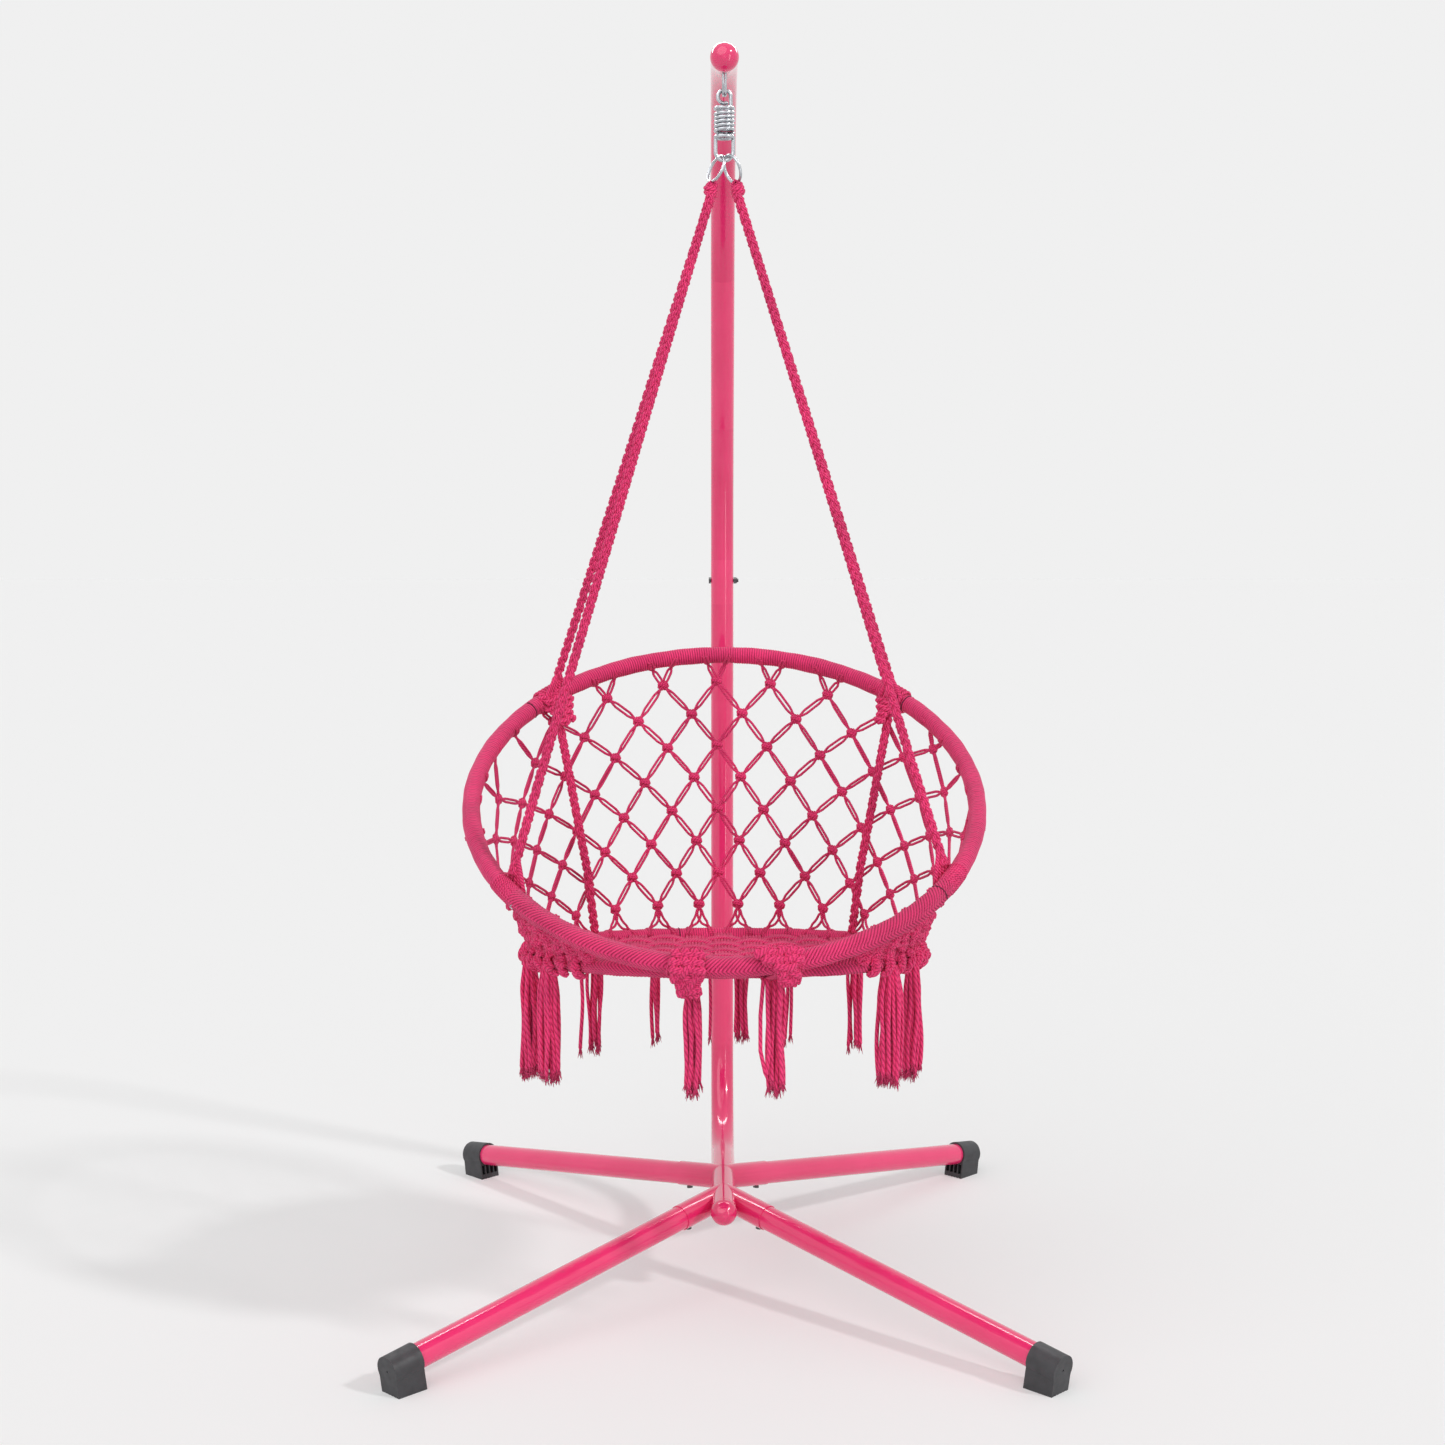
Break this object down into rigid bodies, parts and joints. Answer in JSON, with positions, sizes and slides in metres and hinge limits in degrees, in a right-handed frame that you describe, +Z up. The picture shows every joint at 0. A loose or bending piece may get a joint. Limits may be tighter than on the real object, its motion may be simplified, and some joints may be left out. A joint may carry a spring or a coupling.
{
  "type": "hanging macrame swing chair",
  "caption": "Macrame hammock swing chair with tassels, hung by a spring from a bent tubular stand with a crossed base and black block feet",
  "frame": {"origin": "middle of the whole object on the floor, 26 mm in front of the base's centre", "axes": "+Z up, +Y towards the mast behind the chair, +X to the right of a viewer in front of the chair"},
  "size_m": [0.9844, 1.1403, 1.9219],
  "materials": {
    "pink_paint": "gloss",
    "pink_cord": "matte",
    "black_plastic": "matte",
    "zinc_steel": "satin",
    "black_steel": "satin"
  },
  "bodies": {
    "stand": {"upper_mast": "pink_paint", "lower_mast": "pink_paint", "boom_end_cap": "pink_paint", "base_end_cap": "pink_paint", "mast_bolt": "black_steel", "mast_nut": "black_steel", "leg_front_left": "pink_paint", "leg_front_right": "pink_paint", "leg_rear_left": "pink_paint", "leg_rear_right": "pink_paint", "foot_front_left": "black_plastic", "foot_front_right": "black_plastic", "foot_rear_left": "black_plastic", "foot_rear_right": "black_plastic", "leg_screws": "black_steel", "hanger_eye": "zinc_steel"},
    "hook": {"spring_hook": "zinc_steel", "suspension_spring": "zinc_steel"},
    "loop": {"spring_loop": "zinc_steel"},
    "rings": {"ring_left": "zinc_steel", "ring_right": "zinc_steel"},
    "chair": {"ring_knot_left": "pink_cord", "ring_knot_right": "pink_cord", "rope_front_left": "pink_cord", "rope_front_right": "pink_cord", "rope_rear_left": "pink_cord", "rope_rear_right": "pink_cord", "braid_left": "pink_cord", "braid_right": "pink_cord", "hoop_tube": "zinc_steel", "hoop_wrap": "pink_cord", "hoop_collars": "pink_cord", "seat_ring_tube": "zinc_steel", "seat_ring_wrap": "pink_cord", "front_lashings": "pink_cord", "side_panels": "pink_cord", "back_net": "pink_cord", "seat_net": "pink_cord", "front_tassels": "pink_cord", "rear_tassels": "pink_cord"}
  },
  "joints": [
    {"name": "chair_swing", "type": "hinge", "parent": "stand", "child": "hook", "pos_m": [0, -0.224, 1.86346], "axis": [1, 0, 0], "range_deg": [-20, 8]},
    {"name": "spring_bounce", "type": "slide", "parent": "hook", "child": "loop", "axis": [0, 0, -1], "range_m": [0, 0.03], "stiffness_N_per_m": 9000, "springref_m": -0.02, "deforming": ["suspension_spring"]},
    {"name": "chair_sway", "type": "hinge", "parent": "loop", "child": "rings", "pos_m": [0, -0.224, 1.76936], "axis": [0, 1, 0], "range_deg": [-8, 8]},
    {"name": "chair_twist", "type": "hinge", "parent": "rings", "child": "chair", "pos_m": [0, -0.224, 1.72325], "axis": [0, 0, 1], "range_deg": [-45, 45]}
  ]
}
